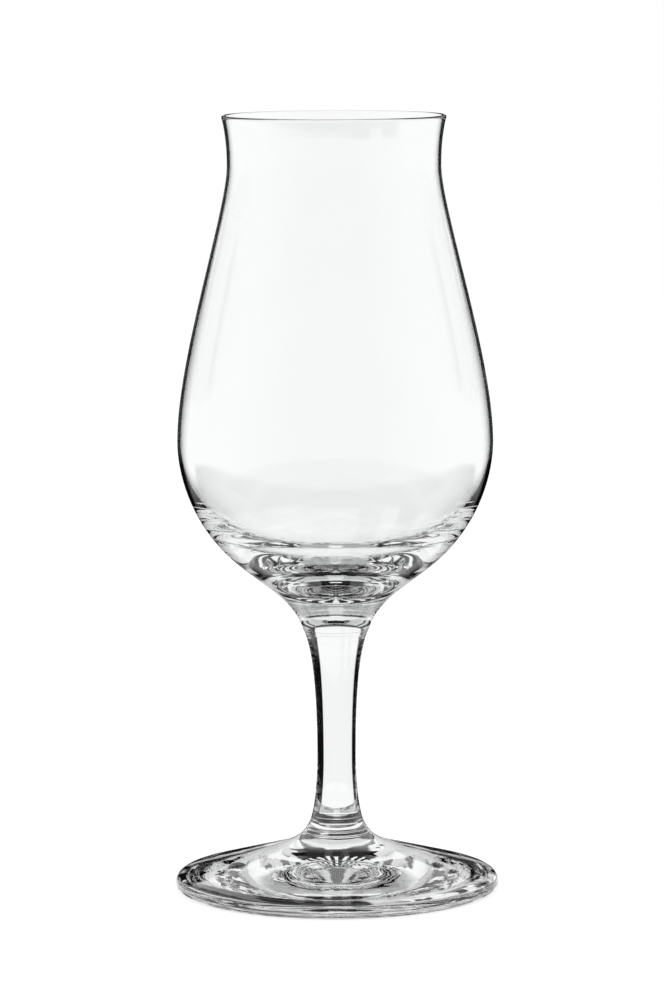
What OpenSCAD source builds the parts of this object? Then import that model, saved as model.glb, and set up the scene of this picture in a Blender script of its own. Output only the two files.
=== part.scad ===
// Whisky nosing glass: a blown tulip bowl, a drawn stem and a pressed foot, fused end to end.
// Millimetres, +Z up. The origin is on the table, in the middle of the foot.
// Each piece is one closed solid turned round the upright axis, and the pieces meet face to face.
// A pull is the length of a curve's straight tangent at one of its ends: a longer pull fills the curve out.
// A lean is an angle in degrees away from upright.

/* [Bowl outside] */
// Height of the bowl piece, from its joint with the stem up to the rim
bowl_h = 114.2; // [105:0.1:130]
// Outer diameter at the rim
rim_d = 49.5; // [44:0.1:56]
// Outward lean of the wall at the rim
rim_lean = 14; // [4:1:24]
// Outer diameter at the neck, where the bowl is narrowest
neck_d = 47.2; // [42:0.1:52]
// Depth of the neck below the rim
neck_drop = 11; // [8:0.1:16]
// Outer diameter at the belly, where the bowl is widest
belly_d = 70; // [62:0.1:80]
// Height of the belly above the joint with the stem
belly_rise = 42.2; // [38:0.1:48]
// Lean of the straight cone under the belly
cone_lean = 52.4; // [48:0.1:56]
// Outer diameter at the upper end of the cone
cone_top_d = 41.4; // [38:0.1:45]
// Height of the cone's upper end above the joint with the stem
cone_top_rise = 14; // [12.5:0.1:16]
// Outer diameter at the lower end of the cone
cone_end_d = 28.8; // [26:0.1:32]

/* [Bowl curves] */
// Pull of the flare at the rim
flare_rim_pull = 4.1; // [2:0.1:6]
// Pull of the flare at the neck
flare_neck_pull = 2.6; // [1:0.1:4]
// Pull of the shoulder at the neck
shoulder_neck_pull = 9.7; // [5:0.1:14]
// Pull of the shoulder at the belly
shoulder_belly_pull = 18.2; // [10:0.1:26]
// Pull of the lower bowl at the belly
lower_belly_pull = 7.8; // [4:0.1:11]
// Pull of the lower bowl at the cone
lower_cone_pull = 13.8; // [9:0.1:17]
// Pull of the throat at the cone
throat_cone_pull = 7.7; // [5:0.1:9]
// Pull of the throat at the joint with the stem
throat_joint_pull = 0.4; // [0.2:0.1:2]

/* [Bowl wall] */
// Wall thickness at the rim
rim_wall = 0.8; // [0.6:0.05:1.6]
// Wall thickness at the neck
neck_wall = 0.65; // [0.5:0.05:1.6]
// Wall thickness at the belly
belly_wall = 0.7; // [0.5:0.05:1.8]
// Wall thickness at the heel, where the wall turns into the floor of the cavity
heel_wall = 2.8; // [1.4:0.05:3.6]
// Power with which the wall of the lower bowl thickens toward the heel, 1 for evenly
heel_growth = 3; // [1:0.25:4]
// Thickness of solid glass under the middle of the cavity, down to the joint with the stem
pad_h = 10.5; // [9:0.1:13]
// Pull of the cavity floor at the heel
floor_heel_pull = 4; // [2:0.1:8]
// Pull of the cavity floor at its middle
floor_centre_pull = 10; // [6:0.1:16]

/* [Stem] */
// Height of the stem piece, from the foot's boss up to the bowl
stem_h = 43.3; // [32:0.1:70]
// Diameter of the joint of the bowl with the stem
bowl_joint_d = 14.6; // [12:0.1:17]
// Outward lean of the outline at the joint with the bowl
bowl_joint_lean = 26.5; // [18:0.5:32]
// Diameter at the waist, where the stem is thinnest
waist_d = 8.6; // [7:0.1:11]
// Height of the waist above the foot's boss
waist_rise = 14.2; // [11:0.1:18]
// Diameter of the joint of the stem with the foot
foot_joint_d = 12; // [11.2:0.1:14]
// Outward lean of the outline at the joint with the foot
foot_joint_lean = 22; // [14:0.5:30]
// Pull of the upper stem at the bowl
stem_bowl_pull = 6.2; // [4:0.1:8]
// Pull of the upper stem at the waist
stem_upper_waist_pull = 8.2; // [5:0.1:11]
// Pull of the lower stem at the waist
stem_lower_waist_pull = 3.4; // [2:0.1:5]
// Pull of the lower stem at the foot
stem_foot_pull = 3.5; // [2:0.1:5]

/* [Foot] */
// Height of the foot piece, from the table up to its joint with the stem
foot_h = 15; // [14:0.1:18]
// Outer diameter of the foot
foot_d = 72.2; // [66:0.1:80]
// Thickness of the foot at its round edge
foot_edge_t = 3.1; // [2:0.1:3.6]
// Slope of the foot's upper face, in degrees from level
foot_slope = 15.8; // [13:0.1:17]
// Diameter at which the boss runs out into the sloping face
boss_d = 34; // [30:0.1:38]
// Pull of the boss at the joint with the stem
boss_joint_pull = 3.5; // [2:0.1:5]
// Pull of the boss where it meets the sloping face
boss_slope_pull = 8; // [5:0.1:9]
// Width of the flat ring that the glass stands on
rest_ring_w = 1.4; // [1:0.1:3]
// Height of the hollow under the middle of the foot
hollow_h = 2; // [1:0.1:4]
// Pull of the hollow at its middle
hollow_centre_pull = 20; // [12:0.1:24]
// Pull of the hollow at the rest ring
hollow_ring_pull = 4; // [2:0.1:8]
// Height of the fine tooling ridges round the boss
ridge_h = 0.12; // [0.05:0.01:0.2]

/* [Hidden] */
// Sides of the full turns, which are true circles
$fn = 96;
// Steps along a long curve, a short curve and a round edge
long_steps = 18;
short_steps = 12;
round_steps = 6;
// Where the heel lies along the curve of the lower bowl, from the belly to the cone
heel_share = 0.76;
// Where each tooling ridge lies along the boss, from the joint down, and its half width there
ridge_shares = [0.16, 0.3];
ridge_width_share = 0.04;
// Steps along the boss, fine enough for its ridges
boss_steps = 50;

// Heights above the table, worked out from the stacked pieces
bowl_joint_z = foot_h + stem_h;
rim_z = bowl_joint_z + bowl_h;
neck_z = rim_z - neck_drop;
belly_z = bowl_joint_z + belly_rise;
cone_top_z = bowl_joint_z + cone_top_rise;
cone_end_z = cone_top_z - (cone_top_d - cone_end_d) / 2 / tan(cone_lean);
floor_z = bowl_joint_z + pad_h;
waist_z = foot_h + waist_rise;

// Unit direction in the outline's plane that leans outward from straight up
function leaning(lean) = [sin(lean), cos(lean)];

// Unit direction in the outline's plane that slopes outward and down from level
function sloping(slope) = [cos(slope), -sin(slope)];

// Four control points from two ends, their directions along the curve and their pulls
function pulled(from, from_dir, from_pull, to, to_dir, to_pull) =
    [from, from + from_pull * from_dir, to - to_pull * to_dir, to];

// Point of a cubic curve at a share of its length
function at(curve, share) =
    pow(1 - share, 3) * curve[0]
    + 3 * pow(1 - share, 2) * share * curve[1]
    + 3 * (1 - share) * pow(share, 2) * curve[2]
    + pow(share, 3) * curve[3];

// Unit direction of a cubic curve at a share of its length
function heading(curve, share) =
    let (step = pow(1 - share, 2) * (curve[1] - curve[0])
        + 2 * (1 - share) * share * (curve[2] - curve[1])
        + pow(share, 2) * (curve[3] - curve[2]))
    step / norm(step);

// Direction to the right hand of a heading, which is inward on a curve that is drawn downward
function right_of(direction) = [direction[1], -direction[0]];

// Points of a curve between two shares
function trace(curve, steps, first = 0, last = 1) =
    [for (i = [0 : steps]) at(curve, first + (last - first) * i / steps)];

// Points set in from an outer curve by a wall that changes from one thickness to another
function set_in(curve, steps, wall_from, wall_to, last = 1, growth = 1) =
    [for (i = [0 : steps])
        let (share = last * i / steps)
        at(curve, share)
            + (wall_from + (wall_to - wall_from) * pow(i / steps, growth)) * right_of(heading(curve, share))];

// Points of an arc about a centre, by angle from level outward
function arc(centre, radius, from, to, steps) =
    [for (i = [0 : steps])
        let (angle = from + (to - from) * i / steps)
        centre + radius * [cos(angle), sin(angle)]];

// Points in the other order
function reversed(points) = [for (i = [len(points) - 1 : -1 : 0]) points[i]];

// All points but the first, to join a list to the one before it
function after_first(points) = [for (i = [1 : len(points) - 1]) points[i]];

// Upright directions
up = [0, 1];
down = [0, -1];
inward = [-1, 0];

// Round lip of the rim: its middle, and the outer curve's first point on it
lip_r = rim_wall / 2;
lip_centre = [rim_d / 2 - lip_r, rim_z - lip_r];
lip_outer = lip_centre + lip_r * sloping(rim_lean);

// Outer curves of the bowl, drawn downward from the rim
flare = pulled(lip_outer, -leaning(rim_lean), flare_rim_pull, [neck_d / 2, neck_z], down, flare_neck_pull);
shoulder = pulled([neck_d / 2, neck_z], down, shoulder_neck_pull,
    [belly_d / 2, belly_z], down, shoulder_belly_pull);
lower = pulled([belly_d / 2, belly_z], down, lower_belly_pull,
    [cone_top_d / 2, cone_top_z], -leaning(cone_lean), lower_cone_pull);
throat = pulled([cone_end_d / 2, cone_end_z], -leaning(cone_lean), throat_cone_pull,
    [bowl_joint_d / 2, bowl_joint_z], -leaning(bowl_joint_lean), throat_joint_pull);

// Floor of the cavity, from the heel in to the axis
heel = at(lower, heel_share) + heel_wall * right_of(heading(lower, heel_share));
cavity_floor = pulled(heel, heading(lower, heel_share), floor_heel_pull,
    [0, floor_z], inward, floor_centre_pull);

// Outer curves of the stem, drawn downward from the bowl
upper_stem = pulled([bowl_joint_d / 2, bowl_joint_z], -leaning(bowl_joint_lean), stem_bowl_pull,
    [waist_d / 2, waist_z], down, stem_upper_waist_pull);
lower_stem = pulled([waist_d / 2, waist_z], down, stem_lower_waist_pull,
    [foot_joint_d / 2, foot_h], -leaning(-foot_joint_lean), stem_foot_pull);

// Round edge of the foot, and the sloping face that runs up from it to the boss
edge_r = foot_edge_t / 2;
edge_centre = [foot_d / 2 - edge_r, edge_r];
edge_top_angle = 90 - foot_slope;
edge_top = edge_centre + edge_r * [cos(edge_top_angle), sin(edge_top_angle)];
boss_end = [boss_d / 2, edge_top[1] + (edge_top[0] - boss_d / 2) * tan(foot_slope)];

// Boss of the foot, drawn downward from the stem, and its ridges
boss = pulled([foot_joint_d / 2, foot_h], -leaning(-foot_joint_lean), boss_joint_pull,
    boss_end, sloping(foot_slope), boss_slope_pull);
function ridge_at(share, place) =
    abs(share - place) < ridge_width_share
        ? ridge_h * (1 + cos(180 * (share - place) / ridge_width_share)) / 2
        : 0;
function ridges_at(share) = ridge_at(share, ridge_shares[0]) + ridge_at(share, ridge_shares[1]);
ridged_boss = [for (i = [0 : boss_steps])
    let (share = i / boss_steps)
    at(boss, share) - ridges_at(share) * right_of(heading(boss, share))];

// Hollow under the foot, drawn from the rest ring in to the axis
rest_ring_inner = [edge_centre[0] - rest_ring_w, 0];
hollow = pulled(rest_ring_inner, leaning(-foot_slope - edge_top_angle / 2), hollow_ring_pull,
    [0, hollow_h], inward, hollow_centre_pull);

// Blown bowl: flared rim, neck, shoulder, belly, cone and throat outside, one cavity inside
module bowl() {
    outside = concat(
        arc(lip_centre, lip_r, 180 - rim_lean, 90, round_steps),
        after_first(arc(lip_centre, lip_r, 90, 0, round_steps)),
        after_first(arc(lip_centre, lip_r, 0, -rim_lean, 1)),
        after_first(trace(flare, short_steps)),
        after_first(trace(shoulder, long_steps)),
        after_first(trace(lower, long_steps)),
        trace(throat, short_steps)
    );
    inside = concat(
        after_first(set_in(flare, short_steps, rim_wall, neck_wall)),
        after_first(set_in(shoulder, long_steps, neck_wall, belly_wall)),
        after_first(set_in(lower, long_steps, belly_wall, heel_wall, heel_share, heel_growth)),
        after_first(trace(cavity_floor, short_steps))
    );
    color([0.93, 0.95, 0.95, 0.35])
        rotate_extrude()
            polygon(concat(outside, [[0, bowl_joint_z]], reversed(inside)));
}

// Drawn stem: swells to a disc at each end, with a waist between
module stem() {
    outside = concat(
        trace(upper_stem, long_steps),
        after_first(trace(lower_stem, short_steps))
    );
    color([0.9, 0.93, 0.94, 0.35])
        rotate_extrude()
            polygon(concat(outside, [[0, foot_h], [0, bowl_joint_z]]));
}

// Pressed foot: ridged boss, sloping face, round edge, rest ring and hollow underside
module foot() {
    outside = concat(
        ridged_boss,
        arc(edge_centre, edge_r, edge_top_angle, 0, round_steps),
        after_first(arc(edge_centre, edge_r, 0, -90, round_steps))
    );
    underside = trace(hollow, short_steps);
    color([0.9, 0.92, 0.93, 0.35])
        rotate_extrude()
            polygon(concat(outside, underside, [[0, foot_h]]));
}

bowl();
stem();
foot();
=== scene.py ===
"""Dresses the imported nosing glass: three fused pieces of clear glass, a studio round it and a camera.

Lengths are in metres and angles in degrees. A name that ends in _d is a diameter, in _r a radius, in _w a
width, in _h or _t a height or thickness, and in _z a height above the table.
"""
import logging
import math
from dataclasses import dataclass, field
from enum import Enum
from typing import Mapping, Optional, Sequence, Union

import bmesh
import bpy
from mathutils import Matrix, Vector


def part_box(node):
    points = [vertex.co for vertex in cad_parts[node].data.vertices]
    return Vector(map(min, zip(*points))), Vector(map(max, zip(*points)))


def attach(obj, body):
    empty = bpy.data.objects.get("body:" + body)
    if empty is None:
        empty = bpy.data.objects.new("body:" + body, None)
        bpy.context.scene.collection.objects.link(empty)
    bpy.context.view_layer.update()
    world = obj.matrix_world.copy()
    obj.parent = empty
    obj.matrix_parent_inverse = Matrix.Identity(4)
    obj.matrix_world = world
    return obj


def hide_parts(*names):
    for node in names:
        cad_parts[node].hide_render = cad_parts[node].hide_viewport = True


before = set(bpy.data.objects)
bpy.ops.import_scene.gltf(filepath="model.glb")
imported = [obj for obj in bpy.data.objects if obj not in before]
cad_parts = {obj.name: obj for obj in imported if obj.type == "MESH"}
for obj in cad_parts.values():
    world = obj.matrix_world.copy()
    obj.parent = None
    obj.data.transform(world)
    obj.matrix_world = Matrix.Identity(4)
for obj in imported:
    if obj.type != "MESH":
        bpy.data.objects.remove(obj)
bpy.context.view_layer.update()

LOG = logging.getLogger("nosing_glass")

# Directions in the plane of an outline, as (outward, up).
DOWN = Vector((0.0, -1.0))
INWARD = Vector((-1.0, 0.0))

# Distances below which two points of an outline, or of a mesh, are one.
REPEAT = 1e-7
NEAR = 1e-6

MILLIMETRES = 1000.0
DEGREES = 180.0 / math.pi
WHITE = (1.0, 1.0, 1.0, 1.0)


class Node(str, Enum):
    """The CAD nodes that the glass pieces stand for."""

    BOWL = "bowl"
    STEM = "stem"
    FOOT = "foot"


class Face(int, Enum):
    """Material slots of a piece: its outside, and the disc that is fused to the next piece."""

    SKIN = 0
    FUSED = 1


def leaning(lean: float) -> Vector:
    """Gives the unit direction that leans outward from upright by an angle in degrees."""
    return Vector((math.sin(math.radians(lean)), math.cos(math.radians(lean))))


def sloping(slope: float) -> Vector:
    """Gives the unit direction that points outward and slopes down from level by an angle in degrees."""
    return Vector((math.cos(math.radians(slope)), -math.sin(math.radians(slope))))


def eased(share: float) -> float:
    """Eases from 0 to 1 with level ends."""
    return (1.0 - math.cos(math.pi * share)) / 2.0


@dataclass(frozen=True)
class Curve:
    """Cubic curve of an outline, drawn downward or inward, with the glass to its right hand."""

    start: Vector
    start_handle: Vector
    end_handle: Vector
    end: Vector

    @classmethod
    def pulled(cls, start: Vector, start_way: Vector, start_pull: float,
               end: Vector, end_way: Vector, end_pull: float) -> "Curve":
        """Makes a curve from its ends, its directions there and the lengths of its straight tangents.

        Args:
            start: first point.
            start_way: unit direction along the curve at its start.
            start_pull: length of the tangent at the start.
            end: last point.
            end_way: unit direction along the curve at its end.
            end_pull: length of the tangent at the end.

        Returns:
            The curve.
        """
        return cls(start, start + start_way * start_pull, end - end_way * end_pull, end)

    def point(self, share: float) -> Vector:
        """Gives a point of the curve.

        Args:
            share: how far along it the point lies, from 0 to 1.

        Returns:
            The point.
        """
        rest = 1.0 - share
        return (self.start * rest ** 3 + self.start_handle * 3.0 * rest ** 2 * share
                + self.end_handle * 3.0 * rest * share ** 2 + self.end * share ** 3)

    def heading(self, share: float) -> Vector:
        """Gives the direction along the curve.

        Args:
            share: how far along it the direction is taken, from 0 to 1.

        Returns:
            The direction, of length 1.
        """
        rest = 1.0 - share
        step = ((self.start_handle - self.start) * rest ** 2
                + (self.end_handle - self.start_handle) * 2.0 * rest * share
                + (self.end - self.end_handle) * share ** 2)
        return step.normalized()

    def inward(self, share: float) -> Vector:
        """Gives the unit direction into the glass at a share of the curve."""
        heading = self.heading(share)
        return Vector((heading.y, -heading.x))

    def trace(self, steps: int) -> list[Vector]:
        """Gives evenly shared points from the start to the end."""
        return [self.point(step / steps) for step in range(steps + 1)]

    def set_in(self, steps: int, wall_from: float, wall_to: float, last: float = 1.0,
               growth: float = 1.0) -> list[Vector]:
        """Gives points set in from the curve by a wall that changes along it.

        Args:
            steps: number of steps.
            wall_from: wall at the start.
            wall_to: wall at the last share.
            last: share of the curve at which the inner line ends.
            growth: power with which the wall changes, 1 for evenly.

        Returns:
            The inner points, in the curve's order.
        """
        points = []
        for step in range(steps + 1):
            share = last * step / steps
            wall = wall_from + (wall_to - wall_from) * (step / steps) ** growth
            points.append(self.point(share) + self.inward(share) * wall)
        return points


def arc(centre: Vector, radius: float, first: float, last: float, steps: int) -> list[Vector]:
    """Gives points of an arc.

    Args:
        centre: middle of the arc.
        radius: its radius.
        first: angle of its first point from level outward, in degrees.
        last: angle of its last point.
        steps: number of steps.

    Returns:
        The points.
    """
    angles = [math.radians(first + (last - first) * step / steps) for step in range(steps + 1)]
    return [centre + Vector((math.cos(angle), math.sin(angle))) * radius for angle in angles]


def joined(*lines: Sequence[Vector]) -> list[Vector]:
    """Joins lines end to end.

    Args:
        lines: points of each line, in order.

    Returns:
        All points, without those that repeat the one before.
    """
    points: list[Vector] = []
    for line in lines:
        for point in line:
            if not points or (point - points[-1]).length > REPEAT:
                points.append(point)
    return points


class Term:
    """One socket of a node tree. Python's operators on it add Math nodes."""

    def __init__(self, bench: "Bench", socket: bpy.types.NodeSocket) -> None:
        """Keeps the tree and the socket."""
        self.bench = bench
        self.socket = socket

    def apply(self, operation: str, *others: Union["Term", float], clamp: bool = False) -> "Term":
        """Adds a Math node.

        Args:
            operation: the node's operation.
            others: its other inputs.
            clamp: whether the result is held between 0 and 1.

        Returns:
            The node's result.
        """
        inputs = dict(enumerate((self, *others)))
        return self.bench.add("ShaderNodeMath", {"operation": operation, "use_clamp": clamp}, inputs)

    def __add__(self, other: Union["Term", float]) -> "Term":
        """Adds."""
        return self.apply("ADD", other)

    __radd__ = __add__

    def __sub__(self, other: Union["Term", float]) -> "Term":
        """Subtracts."""
        return self.apply("SUBTRACT", other)

    def __rsub__(self, other: float) -> "Term":
        """Subtracts from a number."""
        return self.apply("MULTIPLY", -1.0) + other

    def __mul__(self, other: Union["Term", float]) -> "Term":
        """Multiplies."""
        return self.apply("MULTIPLY", other)

    __rmul__ = __mul__

    def __truediv__(self, other: Union["Term", float]) -> "Term":
        """Divides."""
        return self.apply("DIVIDE", other)

    def above(self, level: float, soft: float) -> "Term":
        """Gives 0 below a level and 1 above it, over a soft band centred on it."""
        return ((self - (level - soft / 2.0)) / soft).apply("ADD", 0.0, clamp=True)

    def below(self, level: float, soft: float) -> "Term":
        """Gives 1 below a level and 0 above it, over a soft band centred on it."""
        return 1.0 - self.above(level, soft)

    def at_least(self, count: int) -> "Term":
        """Gives 1 where a whole number reaches a count, and 0 elsewhere."""
        return self.apply("GREATER_THAN", count - 0.5)

    def larger(self, other: Union["Term", float]) -> "Term":
        """Gives the larger of two."""
        return self.apply("MAXIMUM", other)

    def toward(self, other: Union["Term", float], share: Union["Term", float]) -> "Term":
        """Gives a blend that is this term at a share of 0 and the other at 1."""
        return self * (1.0 - share) + other * share

    def magnitude(self) -> "Term":
        """Drops the sign."""
        return self.apply("ABSOLUTE")

    def angle_over(self, other: "Term") -> "Term":
        """Gives the angle, in degrees, whose tangent is this term over another."""
        return self.apply("ARCTAN2", other) * DEGREES

    def stripes(self, pitch: float, cut: float, soft: float) -> "Term":
        """Gives even stripes, the first centred on 0.

        Args:
            pitch: distance from one stripe to the next.
            cut: height, on a wave from -1 to 1, above which a stripe is bright.
            soft: height of the band in which it darkens.

        Returns:
            The stripes: 1 where they are bright.
        """
        return (self * (2.0 * math.pi / pitch)).apply("COSINE").above(cut, soft)


class Bench:
    """Node tree of one material or of the world."""

    def __init__(self, tree: bpy.types.NodeTree) -> None:
        """Empties the tree."""
        self.tree = tree
        tree.nodes.clear()

    def add(self, kind: str, settings: Optional[Mapping[str, object]] = None,
            sockets: Optional[Mapping[Union[int, str], object]] = None,
            output: Union[int, str] = 0) -> Term:
        """Adds one node.

        Args:
            kind: Blender's type name.
            settings: properties, set before the sockets.
            sockets: values or terms, by the socket's index or name.
            output: the output that the result stands for.

        Returns:
            The output as a term. A node that ends a tree gives a term without a socket.
        """
        node = self.tree.nodes.new(kind)
        for name, value in (settings or {}).items():
            setattr(node, name, value)
        for key, value in (sockets or {}).items():
            if isinstance(value, Term):
                self.tree.links.new(value.socket, node.inputs[key])
            else:
                node.inputs[key].default_value = value
        return Term(self, node.outputs[output]) if node.outputs else Term(self, None)

    def split(self, vector: Term) -> tuple[Term, ...]:
        """Gives the parts of a vector along x, y and z."""
        return tuple(self.add("ShaderNodeSeparateXYZ", {}, {0: vector}, axis) for axis in range(3))

    def light_path(self, name: str) -> Term:
        """Gives one output of Light Path."""
        return self.add("ShaderNodeLightPath", output=name)

    def place(self) -> Term:
        """Gives the place on the object."""
        return self.add("ShaderNodeTexCoord", output="Object")

    def noise(self, size: float, **sockets: float) -> Term:
        """Gives noise with forms of about a size, and the values of the node's other sockets."""
        return self.add("ShaderNodeTexNoise", {}, {"Vector": self.place(), "Scale": 1.0 / size, **sockets})


def bare_material(name: str) -> tuple[bpy.types.Material, Bench]:
    """Makes a material without nodes.

    Args:
        name: its name.

    Returns:
        The material and the bench on which its nodes are laid.
    """
    material = bpy.data.materials.new(name)
    material.use_nodes = True
    return material, Bench(material.node_tree)


def shown(name: str, data: bpy.types.ID) -> bpy.types.Object:
    """Puts a mesh, lamp or camera in the scene.

    Args:
        name: the object's name.
        data: what the object holds.

    Returns:
        The object, at the origin.
    """
    thing = bpy.data.objects.new(name, data)
    bpy.context.scene.collection.objects.link(thing)
    return thing


@dataclass(frozen=True)
class ClearGlass:
    """Colourless glass with faint cords in its tint and the slight ripple of a hot-worked surface."""

    name: str
    ior: float = 1.52
    tint: tuple[float, float, float] = (0.985, 0.99, 0.99)
    cord_tint: tuple[float, float, float] = (0.975, 0.984, 0.984)
    cord_size: float = 0.02
    cord_detail: float = 1.0
    cord_bend: float = 1.0
    ripple_size: float = 0.012
    ripple_detail: float = 2.0
    ripple_roughness: float = 0.4
    ripple_height: float = 0.00001
    shadow: float = 0.9

    def build(self) -> bpy.types.Material:
        """Makes the material.

        Returns:
            Smooth glass that lamps shine through, with its ripple as a bump.
        """
        material, bench = bare_material(self.name)
        ripple = bench.noise(self.ripple_size, Detail=self.ripple_detail, Roughness=self.ripple_roughness)
        cords = bench.noise(self.cord_size, Detail=self.cord_detail, Distortion=self.cord_bend)
        tint = bench.add("ShaderNodeMix", {"data_type": "RGBA"}, {
            0: cords, 6: (*self.tint, 1.0), 7: (*self.cord_tint, 1.0)}, output=2)
        bump = bench.add("ShaderNodeBump", {}, {
            "Strength": 1.0, "Distance": self.ripple_height, "Height": ripple})
        glass = bench.add("ShaderNodeBsdfPrincipled", {}, {
            "Base Color": tint, "Roughness": 0.0, "IOR": self.ior,
            "Transmission Weight": 1.0, "Normal": bump})
        shade = bench.add("ShaderNodeBsdfTransparent", {}, {"Color": (self.shadow,) * 3 + (1.0,)})
        shadowed = bench.light_path("Is Shadow Ray")
        mixed = bench.add("ShaderNodeMixShader", {}, {0: shadowed, 1: glass, 2: shade})
        bench.add("ShaderNodeOutputMaterial", {}, {"Surface": mixed})
        return material


@dataclass(frozen=True)
class FusedJoint:
    """The disc where two pieces melted into one: light crosses it unbent."""

    name: str

    def build(self) -> bpy.types.Material:
        """Makes the material.

        Returns:
            A clear face.
        """
        material, bench = bare_material(self.name)
        clear = bench.add("ShaderNodeBsdfTransparent", {}, {"Color": WHITE})
        bench.add("ShaderNodeOutputMaterial", {}, {"Surface": clear})
        return material


@dataclass
class TurnedPiece:
    """One closed piece of glass, turned round the upright axis."""

    node: Node = Node.BOWL
    wedges: int = 8
    wedge_sides: int = 32
    glass: ClearGlass = field(default_factory=lambda: ClearGlass("bowl_glass"))

    def outline(self) -> list[Vector]:
        """Gives the outline from the axis round to the axis again."""
        raise NotImplementedError

    def fused_heights(self) -> list[float]:
        """Gives the heights of the faces that are fused to the next piece."""
        raise NotImplementedError

    def build(self) -> bpy.types.Object:
        """Builds the piece, dresses it and puts it in its node's place.

        Returns:
            The piece.
        """
        piece = shown(self.node.value + "_glass", self.turn())
        self.dress(piece.data)
        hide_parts(self.node.value)
        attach(piece, "root")
        height = piece.dimensions.z * MILLIMETRES
        LOG.info("%s: %d faces, %.1f mm high", piece.name, len(piece.data.polygons), height)
        return piece

    def turn(self) -> bpy.types.Mesh:
        """Turns the outline round the axis.

        Returns:
            The closed mesh, with its fused faces in a slot of their own.
        """
        shape = bmesh.new()
        points = [shape.verts.new((max(point.x, 0.0), 0.0, point.y)) for point in self.outline()]
        edges = [shape.edges.new(pair) for pair in zip(points, points[1:])]
        axis = {"cent": (0.0, 0.0, 0.0), "axis": (0.0, 0.0, 1.0)}
        wedge = 2.0 * math.pi / self.wedges
        bmesh.ops.spin(shape, geom=points + edges, angle=wedge, steps=self.wedge_sides, **axis)
        bmesh.ops.spin(shape, geom=shape.verts[:] + shape.edges[:] + shape.faces[:], use_duplicate=True,
                       angle=2.0 * math.pi - wedge, steps=self.wedges - 1, **axis)
        bmesh.ops.remove_doubles(shape, verts=shape.verts[:], dist=NEAR)
        bmesh.ops.recalc_face_normals(shape, faces=shape.faces[:])
        for face in shape.faces:
            face.smooth = True
            face.material_index = Face.SKIN.value
            if any(self.is_fused(face, height) for height in self.fused_heights()):
                face.material_index = Face.FUSED.value
                face.smooth = False
        mesh = bpy.data.meshes.new(self.node.value + "_glass")
        shape.to_mesh(mesh)
        shape.free()
        return mesh

    def dress(self, mesh: bpy.types.Mesh) -> None:
        """Fills the mesh's slots, in the order of Face."""
        mesh.materials.append(self.glass.build())
        mesh.materials.append(FusedJoint(self.node.value + "_joint").build())

    @staticmethod
    def is_fused(face: bmesh.types.BMFace, height: float) -> bool:
        """Says whether a face lies wholly in the level plane at a height."""
        return all(abs(vert.co.z - height) < NEAR for vert in face.verts)


@dataclass
class Stack:
    """Heights, diameters and leans that neighbouring pieces share. The heights come from the frame."""

    bowl_joint_d: float = 0.0146
    bowl_joint_lean: float = 26.5
    foot_joint_d: float = 0.012
    foot_joint_lean: float = 22.0
    bowl_joint_z: float = field(init=False)
    foot_joint_z: float = field(init=False)
    rim_z: float = field(init=False)

    def __post_init__(self) -> None:
        """Reads the heights from the CAD nodes' boxes."""
        self.foot_joint_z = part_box(Node.FOOT.value)[1][2]
        self.bowl_joint_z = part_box(Node.BOWL.value)[0][2]
        self.rim_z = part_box(Node.BOWL.value)[1][2]


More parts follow.
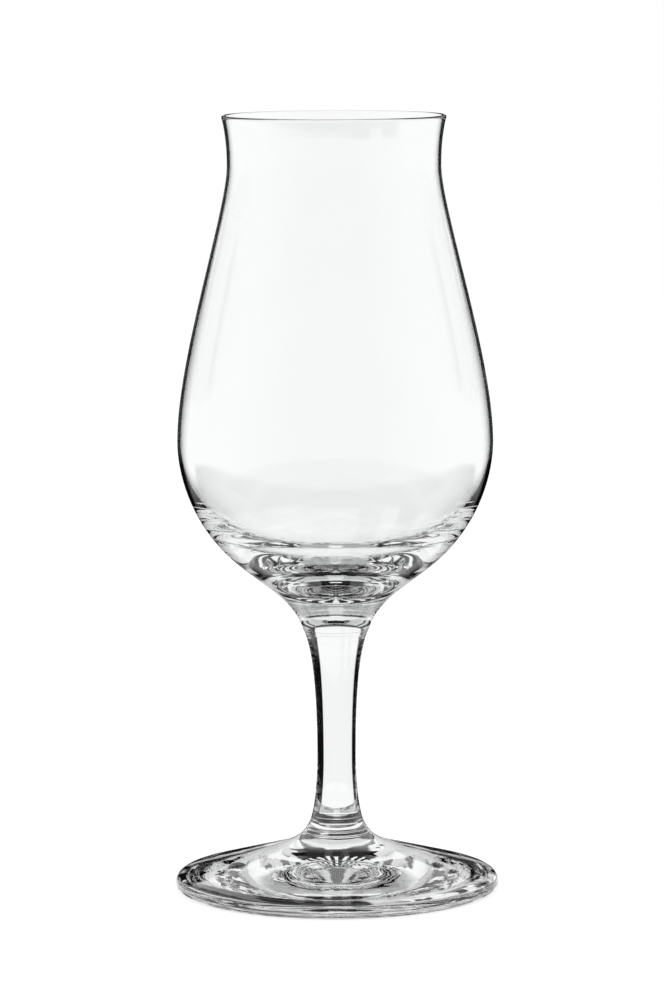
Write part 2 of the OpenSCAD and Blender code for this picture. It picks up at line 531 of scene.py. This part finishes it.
@dataclass
class Bowl(TurnedPiece):
    """Blown bowl: lip, flare, neck, shoulder, belly, cone, throat and one cavity."""

    node: Node = Node.BOWL
    stack: Stack = field(default_factory=Stack)
    rim_d: float = 0.0495
    rim_lean: float = 14.0
    neck_d: float = 0.0472
    neck_drop: float = 0.011
    belly_d: float = 0.07
    belly_rise: float = 0.0422
    cone_lean: float = 52.4
    cone_top_d: float = 0.0414
    cone_top_rise: float = 0.014
    cone_end_d: float = 0.0288
    flare_rim_pull: float = 0.0041
    flare_neck_pull: float = 0.0026
    shoulder_neck_pull: float = 0.0097
    shoulder_belly_pull: float = 0.0182
    lower_belly_pull: float = 0.0078
    lower_cone_pull: float = 0.0138
    throat_cone_pull: float = 0.0077
    throat_joint_pull: float = 0.0004
    rim_wall: float = 0.0008
    neck_wall: float = 0.00065
    belly_wall: float = 0.0007
    heel_wall: float = 0.0028
    heel_growth: float = 3.0
    pad_h: float = 0.0105
    floor_heel_pull: float = 0.004
    floor_centre_pull: float = 0.01
    heel_share: float = 0.76
    long_steps: int = 44
    short_steps: int = 20
    round_steps: int = 6

    def fused_heights(self) -> list[float]:
        """Gives the height of the joint with the stem."""
        return [self.stack.bowl_joint_z]

    def lip(self) -> tuple[Vector, float]:
        """Gives the centre and the radius of the round lip."""
        radius = self.rim_wall / 2.0
        return Vector((self.rim_d / 2.0 - radius, self.stack.rim_z - radius)), radius

    def skin(self) -> tuple[Curve, Curve, Curve, Curve]:
        """Gives the curves of the outside, from the lip down to the joint.

        Returns:
            The flare, the shoulder, the lower bowl and the throat.
        """
        joint_z = self.stack.bowl_joint_z
        lip, lip_r = self.lip()
        neck = Vector((self.neck_d / 2.0, self.stack.rim_z - self.neck_drop))
        belly = Vector((self.belly_d / 2.0, joint_z + self.belly_rise))
        cone_top = Vector((self.cone_top_d / 2.0, joint_z + self.cone_top_rise))
        cone_drop = (self.cone_top_d - self.cone_end_d) / 2.0 / math.tan(math.radians(self.cone_lean))
        cone_end = Vector((self.cone_end_d / 2.0, cone_top.y - cone_drop))
        joint = Vector((self.stack.bowl_joint_d / 2.0, joint_z))
        cone_way = -leaning(self.cone_lean)
        flare = Curve.pulled(lip + sloping(self.rim_lean) * lip_r, -leaning(self.rim_lean),
                             self.flare_rim_pull, neck, DOWN, self.flare_neck_pull)
        shoulder = Curve.pulled(neck, DOWN, self.shoulder_neck_pull, belly, DOWN, self.shoulder_belly_pull)
        lower = Curve.pulled(belly, DOWN, self.lower_belly_pull, cone_top, cone_way, self.lower_cone_pull)
        throat = Curve.pulled(cone_end, cone_way, self.throat_cone_pull, joint,
                              -leaning(self.stack.bowl_joint_lean), self.throat_joint_pull)
        return flare, shoulder, lower, throat

    def cavity_floor(self, lower: Curve) -> Curve:
        """Gives the bottom of the cavity.

        Args:
            lower: the outside of the lower bowl.

        Returns:
            The curve from the heel to the axis.
        """
        heel = lower.point(self.heel_share) + lower.inward(self.heel_share) * self.heel_wall
        middle = Vector((0.0, self.stack.bowl_joint_z + self.pad_h))
        return Curve.pulled(heel, lower.heading(self.heel_share), self.floor_heel_pull,
                            middle, INWARD, self.floor_centre_pull)

    def outline(self) -> list[Vector]:
        """Gives the outline: the cavity from its bottom up to the rim, then the outside down to the joint.

        Returns:
            The points, from the axis to the axis.
        """
        lip, lip_r = self.lip()
        flare, shoulder, lower, throat = self.skin()
        outside = joined(
            arc(lip, lip_r, 180.0 - self.rim_lean, 90.0, self.round_steps),
            arc(lip, lip_r, 90.0, 0.0, self.round_steps),
            arc(lip, lip_r, 0.0, -self.rim_lean, 1),
            flare.trace(self.short_steps), shoulder.trace(self.long_steps), lower.trace(self.long_steps),
            throat.trace(self.short_steps), [Vector((0.0, self.stack.bowl_joint_z))])
        inside = joined(
            flare.set_in(self.short_steps, self.rim_wall, self.neck_wall),
            shoulder.set_in(self.long_steps, self.neck_wall, self.belly_wall),
            lower.set_in(self.long_steps, self.belly_wall, self.heel_wall, self.heel_share,
                         self.heel_growth),
            self.cavity_floor(lower).trace(self.short_steps))
        return joined(inside[::-1], outside)


@dataclass
class Stem(TurnedPiece):
    """Drawn stem: swells to a disc at each end, with a waist between."""

    node: Node = Node.STEM
    stack: Stack = field(default_factory=Stack)
    waist_d: float = 0.0086
    waist_rise: float = 0.0142
    bowl_pull: float = 0.0062
    upper_waist_pull: float = 0.0082
    lower_waist_pull: float = 0.0034
    foot_pull: float = 0.0035
    long_steps: int = 48
    short_steps: int = 24
    glass: ClearGlass = field(default_factory=lambda: ClearGlass("stem_glass"))

    def fused_heights(self) -> list[float]:
        """Gives the heights of both joints."""
        return [self.stack.bowl_joint_z, self.stack.foot_joint_z]

    def outline(self) -> list[Vector]:
        """Gives the outline from the bowl's joint down to the foot's.

        Returns:
            The points, from the axis to the axis.
        """
        top = Vector((self.stack.bowl_joint_d / 2.0, self.stack.bowl_joint_z))
        waist = Vector((self.waist_d / 2.0, self.stack.foot_joint_z + self.waist_rise))
        end = Vector((self.stack.foot_joint_d / 2.0, self.stack.foot_joint_z))
        upper = Curve.pulled(top, -leaning(self.stack.bowl_joint_lean), self.bowl_pull,
                             waist, DOWN, self.upper_waist_pull)
        lower = Curve.pulled(waist, DOWN, self.lower_waist_pull,
                             end, -leaning(-self.stack.foot_joint_lean), self.foot_pull)
        return joined([Vector((0.0, top.y))], upper.trace(self.long_steps), lower.trace(self.short_steps),
                      [Vector((0.0, end.y))])


@dataclass
class Foot(TurnedPiece):
    """Pressed foot: ridged boss, sloping face, round edge, rest ring and hollow underside."""

    node: Node = Node.FOOT
    stack: Stack = field(default_factory=Stack)
    foot_d: float = 0.0722
    edge_t: float = 0.0031
    slope: float = 15.8
    boss_d: float = 0.034
    boss_joint_pull: float = 0.0035
    boss_slope_pull: float = 0.008
    rest_ring_w: float = 0.0014
    hollow_h: float = 0.002
    hollow_lean: float = 52.9
    hollow_centre_pull: float = 0.02
    hollow_ring_pull: float = 0.004
    ridge_h: float = 0.00012
    ridge_shares: tuple[float, ...] = (0.16, 0.3)
    ridge_width_share: float = 0.04
    boss_steps: int = 120
    slope_steps: int = 16
    round_steps: int = 10
    hollow_steps: int = 40
    glass: ClearGlass = field(default_factory=lambda: ClearGlass(
        "foot_glass", ripple_size=0.006, ripple_height=0.00008))

    def fused_heights(self) -> list[float]:
        """Gives the height of the joint with the stem."""
        return [self.stack.foot_joint_z]

    def ridge(self, share: float) -> float:
        """Gives how far the pressed ridges stand out of the boss.

        Args:
            share: how far along the boss, from 0 to 1.

        Returns:
            The height, which is 0 beside the ridges.
        """
        height = 0.0
        for place in self.ridge_shares:
            offset = (share - place) / self.ridge_width_share
            if abs(offset) < 1.0:
                height += self.ridge_h * eased(1.0 - abs(offset))
        return height

    def outline(self) -> list[Vector]:
        """Gives the outline down the boss, round the edge and back under the hollow.

        Returns:
            The points, from the axis to the axis.
        """
        joint = Vector((self.stack.foot_joint_d / 2.0, self.stack.foot_joint_z))
        edge_r = self.edge_t / 2.0
        edge = Vector((self.foot_d / 2.0 - edge_r, edge_r))
        top_angle = 90.0 - self.slope
        edge_top = edge + leaning(self.slope) * edge_r
        rise = (edge_top.x - self.boss_d / 2.0) * math.tan(math.radians(self.slope))
        boss_end = Vector((self.boss_d / 2.0, edge_top.y + rise))
        boss = Curve.pulled(joint, -leaning(-self.stack.foot_joint_lean), self.boss_joint_pull,
                            boss_end, sloping(self.slope), self.boss_slope_pull)
        ridged = [boss.point(step / self.boss_steps)
                  - boss.inward(step / self.boss_steps) * self.ridge(step / self.boss_steps)
                  for step in range(self.boss_steps + 1)]
        face = [boss_end.lerp(edge_top, step / self.slope_steps) for step in range(self.slope_steps + 1)]
        ring_inner = Vector((edge.x - self.rest_ring_w, 0.0))
        hollow = Curve.pulled(ring_inner, leaning(-self.hollow_lean), self.hollow_ring_pull,
                              Vector((0.0, self.hollow_h)), INWARD, self.hollow_centre_pull)
        return joined([Vector((0.0, joint.y))], ridged, face,
                      arc(edge, edge_r, top_angle, 0.0, self.round_steps),
                      arc(edge, edge_r, 0.0, -90.0, self.round_steps), hollow.trace(self.hollow_steps))


class Soft(float, Enum):
    """Widths of the soft edges between the scenery's fields, in degrees."""

    FINE = 1.0
    THIN = 2.0
    MEDIUM = 4.0
    BROAD = 6.0
    WIDE = 10.0
    FADING = 60.0


class Ray:
    """How light travelled through the glass before it met the stage. Each term is 0 or 1."""

    SEVERAL = 4
    OFTEN = 6
    PIPED = 10
    CROSSED = 4

    def __init__(self, bench: Bench) -> None:
        """Counts the ray's reflections and its crossings of a surface of the glass.

        Args:
            bench: node tree of the stage's material or of the world.
        """
        reflections = bench.light_path("Glossy Depth")
        crossings = bench.light_path("Transmission Depth")
        self.bounced = reflections.at_least(1)
        self.single = 1.0 - reflections.at_least(2)
        self.several = reflections.at_least(self.SEVERAL)
        self.often = reflections.at_least(self.OFTEN)
        self.piped = reflections.at_least(self.PIPED)
        self.entered = crossings.at_least(1)
        self.passed = crossings.at_least(2)
        self.crossed = crossings.at_least(self.CROSSED)
        self.through = bench.light_path("Is Glossy Ray").larger(bench.light_path("Is Transmission Ray"))


@dataclass
class Sight:
    """One place of the stage as the glass shows it, and how light left the glass for it.

    Attributes:
        turn: angle to the right of straight away from the camera, in degrees.
        rise: angle above level, in degrees.
        ray: how light travelled through the glass.
        mat: 1 on the table near the glass.
        inside: 1 on the table under the foot.
        outer: 1 on the table under the outer part of the foot.
        under: brightness of the table under the foot.
        steep: 1 for light that left the glass steeply downward.
        shallow: 1 for light that left the bowl at a low angle.
        falling: 1 for light that left the underside of the bowl.
        off: the turn without its side.
    """

    turn: Term
    rise: Term
    ray: Ray
    mat: Union[Term, float] = 0.0
    inside: Union[Term, float] = 0.0
    outer: Union[Term, float] = 0.0
    # under: brightness of the table under the foot, with the painted shadow there.
    under: Union[Term, float] = 1.0
    steep: Union[Term, float] = 0.0
    shallow: Union[Term, float] = 1.0
    falling: Union[Term, float] = 0.0
    off: Term = field(init=False)

    def __post_init__(self) -> None:
        """Drops the side of the turn."""
        self.off = self.turn.magnitude()


@dataclass
class Scenery:
    """White and dark fields round the glass, which only the glass shows.

    Places are angles round the glass or above level. A name that ends in _from or _to tells where a
    field begins or ends, and in _level its brightness. Stripes have a pitch, a cut and a soft edge.
    """

    gap: float = 5.5
    panel_top: float = 3.0
    window_narrow: float = 16.0
    window_wide: float = 24.0
    window_step_at: float = 12.0
    window_end: float = 38.0
    grille_bottom: float = 22.0
    grille_pitch: float = 5.6
    grille_cut: float = 0.2
    grille_soft: float = 0.4
    side_from: float = 29.0
    side_to: float = 45.0
    behind_from: float = 125.0
    strip_from: float = 44.0
    strip_lead: float = 4.0
    strip_to: float = 104.0
    strip_to_piped: float = 70.0
    strip_pitch: float = 20.0
    strip_cut: float = 0.55
    strip_soft: float = 0.5
    strip_bottom: float = -2.0
    strip_top: float = 26.0
    back_from: float = 60.0
    clear_left: float = -45.0
    clear_back: float = 135.0
    clear_half: float = 30.0
    roof_from: float = 28.0
    roof_half: float = 62.5
    ceiling_from: float = 43.0
    ceiling_to: float = 70.0
    ceiling_level: float = 0.2
    ceiling_side_from: float = 20.0
    ceiling_side_level: float = 0.5
    flank_from: float = 7.0
    flank_to: float = 26.0
    louvre_pitch: float = 5.0
    louvre_cut: float = 0.2
    louvre_soft: float = 0.6
    louvre_level: float = 0.9
    louvre_end: float = 19.0
    middle_to: float = 42.0
    middle_level: float = 0.45
    middle_gap_level: float = 0.3
    spoke_pitch: float = 24.0
    spoke_soft: float = 0.4
    spoke_level: float = 0.15
    outer_level: float = 0.8
    crossed_to: float = 48.0
    lens_right: float = 31.0
    lens_left: float = 41.5
    lens_end: float = 76.0
    lens_next: float = 104.0
    dark: float = 0.005

    def level(self, sight: Sight) -> Term:
        """Gives the brightness of the surround at a place, as the glass shows it.

        Args:
            sight: the place, and how light left the glass for it.

        Returns:
            The brightness, for light that bounced in the glass or went straight through it.
        """
        ray = sight.ray
        mat = self.mat(sight)
        white = ray.crossed * (1.0 - mat) * (1.0 - sight.inside)
        white = white * (1.0 - ray.bounced * sight.off.above(self.crossed_to, Soft.MEDIUM))
        seen = self.straight(sight).toward(self.mirrored(sight, mat), ray.bounced)
        return seen.toward(1.0, white).larger(self.dark)

    def sector(self, sight: Sight, middle: float) -> Term:
        """Gives 1 in the clear sector round a turn."""
        return (sight.turn - middle).magnitude().below(self.clear_half, Soft.THIN)

    def mat(self, sight: Sight) -> Term:
        """Gives the dark mat, without the places where the glass shows white instead.

        Args:
            sight: the place.

        Returns:
            The mat: 1 where it is dark.
        """
        ray = sight.ray
        back = sight.off.above(self.back_from, Soft.WIDE) * ray.crossed * ray.single * ray.bounced
        wall = (ray.single * ray.bounced * sight.shallow).larger((1.0 - ray.entered) * sight.falling)
        clear = self.sector(sight, self.clear_left).larger(self.sector(sight, self.clear_back))
        return sight.mat * (1.0 - back.larger(wall)) * (1.0 - clear * (1.0 - ray.bounced))

    def panel(self, sight: Sight) -> Term:
        """Gives the low white panel behind the glass, with a window and its grille above.

        Args:
            sight: the place.

        Returns:
            The panel: 1 where it is white.
        """
        ray = sight.ray
        high = sight.rise.above(self.panel_top, Soft.FINE)
        widened = self.window_wide - self.window_narrow
        inner = sight.rise.above(self.window_step_at, Soft.THIN) * widened + self.window_narrow
        window = (sight.off - inner).above(0.0, Soft.THIN) * sight.off.below(self.window_end, Soft.MEDIUM)
        grille = sight.off.stripes(self.grille_pitch, self.grille_cut, self.grille_soft)
        grille = grille * sight.off.below(self.window_wide, Soft.FINE)
        grille = grille * sight.rise.above(self.grille_bottom, Soft.THIN)
        return sight.off.below(self.gap, Soft.THIN).toward(window.larger(grille) * ray.single, high)

    def sides(self, sight: Sight) -> Term:
        """Gives the white sides, which light that bounced often sees as upright strips.

        Args:
            sight: the place.

        Returns:
            The sides: 1 where they are white.
        """
        ray = sight.ray
        plain = sight.off.above((self.side_from + self.side_to) / 2.0, self.side_to - self.side_from)
        behind = sight.off.above(self.behind_from, Soft.FADING) * ray.passed * (1.0 - ray.crossed)
        comb = (sight.off - self.strip_from).stripes(self.strip_pitch, self.strip_cut, self.strip_soft)
        strips = comb * sight.off.above(self.strip_from - self.strip_lead, Soft.THIN)
        end = self.strip_to - ray.piped * (self.strip_to - self.strip_to_piped)
        strips = strips.larger((sight.off - end).above(0.0, Soft.THIN))
        strips = strips * sight.rise.above(self.strip_bottom, Soft.THIN)
        strips = strips * sight.rise.below(self.strip_top, Soft.THIN)
        return (plain * (1.0 - behind)).toward(strips, ray.often)

    def mirrored(self, sight: Sight, mat: Term) -> Term:
        """Gives what light sees that bounced in the glass.

        Args:
            sight: the place.
            mat: 1 where the table's mat is dark.

        Returns:
            The brightness.
        """
        ray = sight.ray
        aside = (sight.turn - self.clear_back).magnitude()
        flank = aside.above(self.flank_from, Soft.THIN) * aside.below(self.flank_to, Soft.BROAD)
        louvres = sight.turn.stripes(self.louvre_pitch, self.louvre_cut, self.louvre_soft)
        louvres = louvres * self.louvre_level * ray.single
        louvres = louvres * sight.off.below(self.louvre_end, Soft.THIN) * mat
        seen = self.panel(sight).larger(self.sides(sight)) * (1.0 - mat)
        seen = seen * (1.0 - flank * ray.single * sight.steep) + louvres
        seen = self.roofed(sight, seen)
        gap = sight.off.below(self.gap, Soft.THIN)
        middle = ray.several * (1.0 - ray.often) * sight.off.below(self.middle_to, Soft.THIN)
        seen = seen.larger(middle * (gap * self.middle_gap_level + self.middle_level))
        spokes = sight.turn.stripes(self.spoke_pitch, 0.0, self.spoke_soft)
        spokes = spokes * (1.0 - self.spoke_level) + self.spoke_level
        # sight.under darkens the table under the foot with painted shadow.
        spokes = spokes.larger(ray.often * sight.outer * self.outer_level) * sight.under
        return seen.toward(spokes, sight.inside)

    def roofed(self, sight: Sight, seen: Term) -> Term:
        """Puts the dark roof and the grey ceiling over what bounced light sees.

        Args:
            sight: the place.
            seen: the brightness without them.

        Returns:
            The brightness with them.
        """
        roof = sight.rise.above(self.roof_from, Soft.MEDIUM)
        open_roof = sight.ray.single * sight.off.below(self.roof_half, Soft.MEDIUM)
        overhead = sight.rise.above(self.ceiling_from, Soft.MEDIUM)
        ceiling = sight.off.above(self.ceiling_side_from, Soft.BROAD) * self.ceiling_side_level
        ceiling = (ceiling + self.ceiling_level) * sight.rise.below(self.ceiling_to, Soft.MEDIUM)
        return (seen * (1.0 - roof * (1.0 - open_roof))).toward(ceiling, overhead)

    def straight(self, sight: Sight) -> Term:
        """Gives what light sees that the glass only bent: white behind, with black flags at both sides.

        Args:
            sight: the place.

        Returns:
            The brightness.
        """
        right = sight.turn.above(self.lens_right, Soft.THIN)
        left = (sight.turn * -1.0).above(self.lens_left, Soft.MEDIUM)
        beyond = sight.off.above(self.lens_end, Soft.WIDE) * sight.off.below(self.lens_next, Soft.WIDE)
        seen = 1.0 - (right + left) * (1.0 - beyond * (1.0 - sight.steep))
        seen = seen.larger(self.sector(sight, self.clear_left) * sight.steep)
        seen = seen.larger(self.sector(sight, self.clear_back))
        # sight.under darkens the table under the foot with painted shadow.
        return seen * sight.rise.below(self.roof_from, Soft.MEDIUM) * sight.under


@dataclass
class Table:
    """White floor that keeps the object's shadow. The glass shows a dark mat on it, and painted shadow
    under the foot.
    """

    scenery: Scenery
    width: float = 60.0
    colour: float = 0.35
    glow: float = 0.72
    mat_r: float = 0.27
    mat_soft: float = 0.12
    wide_mat_r: float = 0.42
    wide_mat_soft: float = 0.06
    wide_mat_from: float = 55.0
    mat_hole_r: float = 0.0465
    mat_hole_soft: float = 0.01
    foot_r: float = 0.0365
    foot_soft: float = 0.001
    # Most sizes below are of the painted shadow under the foot: its dark spot, ring of dashes, front and
    # patches.
    shadow_spot_r: float = 0.014
    shadow_spot_soft: float = 0.003
    outer_r: float = 0.024
    outer_soft: float = 0.004
    ring_r: float = 0.029
    ring_soft: float = 0.002
    front_from: float = 152.0
    front_soft: float = 8.0
    front_level: float = 0.5
    dash_size: float = 0.006
    dash_detail: float = 2.0
    dash_cut: float = 0.5
    dash_soft: float = 0.05
    patch_size: float = 0.012
    patch_detail: float = 3.0
    patch_cut: float = 0.55
    patch_soft: float = 0.1
    patch_level: float = 0.75
    near_r: float = 1.2
    near_soft: float = 0.4
    near_rise: float = -10.0
    steep_gain: float = 0.0024
    gain_soft: float = 0.001
    shallow_gain: float = -0.009
    shallow_soft: float = 0.004
    falling_gain: float = 0.003
    falling_from: float = 0.055
    falling_from_soft: float = 0.01
    falling_to: float = 0.13
    falling_to_soft: float = 0.02

    def build(self) -> bpy.types.Object:
        """Makes the floor and dresses it.

        Returns:
            The floor.
        """
        shape = bmesh.new()
        bmesh.ops.create_grid(shape, x_segments=1, y_segments=1, size=self.width / 2.0)
        mesh = bpy.data.meshes.new("floor")
        shape.to_mesh(mesh)
        shape.free()
        floor = shown("floor", mesh)
        mesh.materials.append(self.dress())
        LOG.info("%s: %.0f m wide", floor.name, self.width)
        return floor

    def dress(self) -> bpy.types.Material:
        """Makes the floor's material.

        Returns:
            Matte white that glows a little, and the scenery for light that comes from the glass.
        """
        material, bench = bare_material("white_table")
        sight = self.sight(bench)
        matte = bench.add("ShaderNodeBsdfDiffuse", {}, {"Color": (self.colour,) * 3 + (1.0,)})
        glow = bench.add("ShaderNodeEmission", {}, {"Color": WHITE, "Strength": self.glow})
        table = bench.add("ShaderNodeAddShader", {}, {0: matte, 1: glow})
        pane = bench.add("ShaderNodeEmission", {}, {"Color": self.scenery.level(sight), "Strength": 1.0})
        mixed = bench.add("ShaderNodeMixShader", {}, {0: sight.ray.through, 1: table, 2: pane})
        bench.add("ShaderNodeOutputMaterial", {}, {"Surface": mixed})
        return material

    def sight(self, bench: Bench) -> Sight:
        """Describes each place of the floor to the scenery.

        Args:
            bench: node tree of the floor's material.

        Returns:
            The place.
        """
        across, along, _ = bench.split(bench.place())
        reach = (across * across + along * along).apply("SQRT")
        turn = across.angle_over(along)
        off = turn.magnitude()
        mat = reach.below(self.wide_mat_r, self.wide_mat_soft) * off.above(self.wide_mat_from, Soft.MEDIUM)
        mat = mat.larger(reach.below(self.mat_r, self.mat_soft))
        # How much longer the ray is than its reach tells how steeply it came down, and from how high.
        gain = bench.light_path("Ray Length") - reach
        falling = gain.above(self.falling_gain, self.gain_soft)
        falling = falling * reach.above(self.falling_from, self.falling_from_soft)
        return Sight(turn=turn, ray=Ray(bench),
                     rise=reach.below(self.near_r, self.near_soft) * self.near_rise,
                     mat=mat * reach.above(self.mat_hole_r, self.mat_hole_soft),
                     inside=reach.below(self.foot_r, self.foot_soft),
                     outer=reach.above(self.outer_r, self.outer_soft),
                     under=self.painted_shadow_under_foot(bench, reach, off),
                     steep=gain.above(self.steep_gain, self.gain_soft),
                     shallow=gain.below(self.shallow_gain, self.shallow_soft),
                     falling=falling * reach.below(self.falling_to, self.falling_to_soft))

    def painted_shadow_under_foot(self, bench: Bench, reach: Term, off: Term) -> Term:
        """Gives the painted shadow under the foot: a dark spot, soft patches round it and dashes near the
        edge.

        Args:
            bench: node tree of the floor's material.
            reach: distance from the middle.
            off: angle from straight away from the camera.

        Returns:
            The brightness, which is 1 beside the foot.
        """
        # Painted shadow under the foot, which only the glass shows: soft grey patches, dark dashes near
        # the edge, a dark spot in the middle.
        patches = bench.noise(self.patch_size, Detail=self.patch_detail)
        patches = patches.above(self.patch_cut, self.patch_soft)
        patches = patches * (1.0 - self.patch_level) + self.patch_level
        dashes = bench.noise(self.dash_size, Detail=self.dash_detail)
        dashes = dashes.above(self.dash_cut, self.dash_soft)
        dashes = dashes.toward(self.front_level, off.above(self.front_from, self.front_soft))
        below = patches.toward(dashes, reach.above(self.ring_r, self.ring_soft))
        beside = reach.above(self.foot_r, self.foot_soft)
        return below.toward(1.0, beside) * reach.above(self.shadow_spot_r, self.shadow_spot_soft)


@dataclass
class Surround:
    """World round the stage: white to the camera, plain light to matte surfaces, scenery to the glass."""

    scenery: Scenery
    light: float = 0.8

    def build(self) -> None:
        """Makes the world."""
        world = bpy.data.worlds.new("surround")
        bpy.context.scene.world = world
        world.use_nodes = True
        bench = Bench(world.node_tree)
        across, along, up = bench.split(bench.add("ShaderNodeTexCoord", output="Generated"))
        ray = Ray(bench)
        level = self.scenery.level(Sight(across.angle_over(along), up.apply("ARCSINE") * DEGREES, ray))
        camera = bench.light_path("Is Camera Ray")
        grey = (1.0 - camera.larger(ray.through)) * self.light + camera + ray.through * level
        light = bench.add("ShaderNodeBackground", {}, {"Color": grey, "Strength": 1.0})
        bench.add("ShaderNodeOutputWorld", {}, {"Surface": light})


@dataclass
class Lamp:
    """Wide soft lamp over the table, seen by matte surfaces alone."""

    height: float = 1.2
    width: float = 1.0
    watts: float = 6.0

    def build(self) -> bpy.types.Object:
        """Hangs the lamp.

        Returns:
            The lamp.
        """
        data = bpy.data.lights.new("top_light", "AREA")
        data.shape = "SQUARE"
        data.size = self.width
        data.energy = self.watts
        lamp = shown("top_light", data)
        lamp.location = (0.0, 0.0, self.height)
        lamp.visible_glossy = False
        lamp.visible_transmission = False
        return lamp


@dataclass
class Viewpoint:
    """Camera at the photograph's angle. focal_pixels is its focal length in the photograph's pixels."""

    distance: float = 1.0021
    height: float = 0.2143
    left: float = 0.00077
    pitch: float = 7.228
    roll: float = -0.25
    focal_pixels: float = 4550.0
    frame_pixels: float = 1000.0
    sensor: float = 36.0
    sight_end: float = 100.0

    def build(self) -> bpy.types.Object:
        """Places the camera.

        Returns:
            The scene's camera.
        """
        data = bpy.data.cameras.new("camera")
        data.sensor_width = self.sensor
        data.lens = self.focal_pixels * self.sensor / self.frame_pixels
        data.clip_end = self.sight_end
        camera = shown("camera", data)
        turn = Matrix.Rotation(math.radians(90.0 - self.pitch), 4, "X")
        roll = Matrix.Rotation(math.radians(self.roll), 4, "Z")
        camera.matrix_world = Matrix.Translation((-self.left, -self.distance, self.height)) @ turn @ roll
        bpy.context.scene.camera = camera
        LOG.info("camera: %.1f mm lens", data.lens)
        return camera


@dataclass(frozen=True)
class RenderRules:
    """Plain view transform, and how far light is followed through the glass."""

    crossings: int = 32
    reflections: int = 16

    def set(self) -> None:
        """Sets the scene's rules."""
        scene = bpy.context.scene
        scene.view_settings.view_transform = "Standard"
        scene.cycles.max_bounces = self.crossings
        scene.cycles.transmission_bounces = self.crossings
        scene.cycles.transparent_max_bounces = self.crossings
        scene.cycles.glossy_bounces = self.reflections
        scene.cycles.caustics_reflective = False
        scene.cycles.caustics_refractive = False


def main() -> None:
    logging.basicConfig(level=logging.INFO, format="%(name)s: %(message)s")
    RenderRules().set()
    Viewpoint().build()
    scenery = Scenery()
    Table(scenery).build()
    Surround(scenery).build()
    Lamp().build()
    stack = Stack()
    for piece in (Bowl(stack=stack), Stem(stack=stack), Foot(stack=stack)):
        piece.build()


if __name__ == "__main__":
    main()
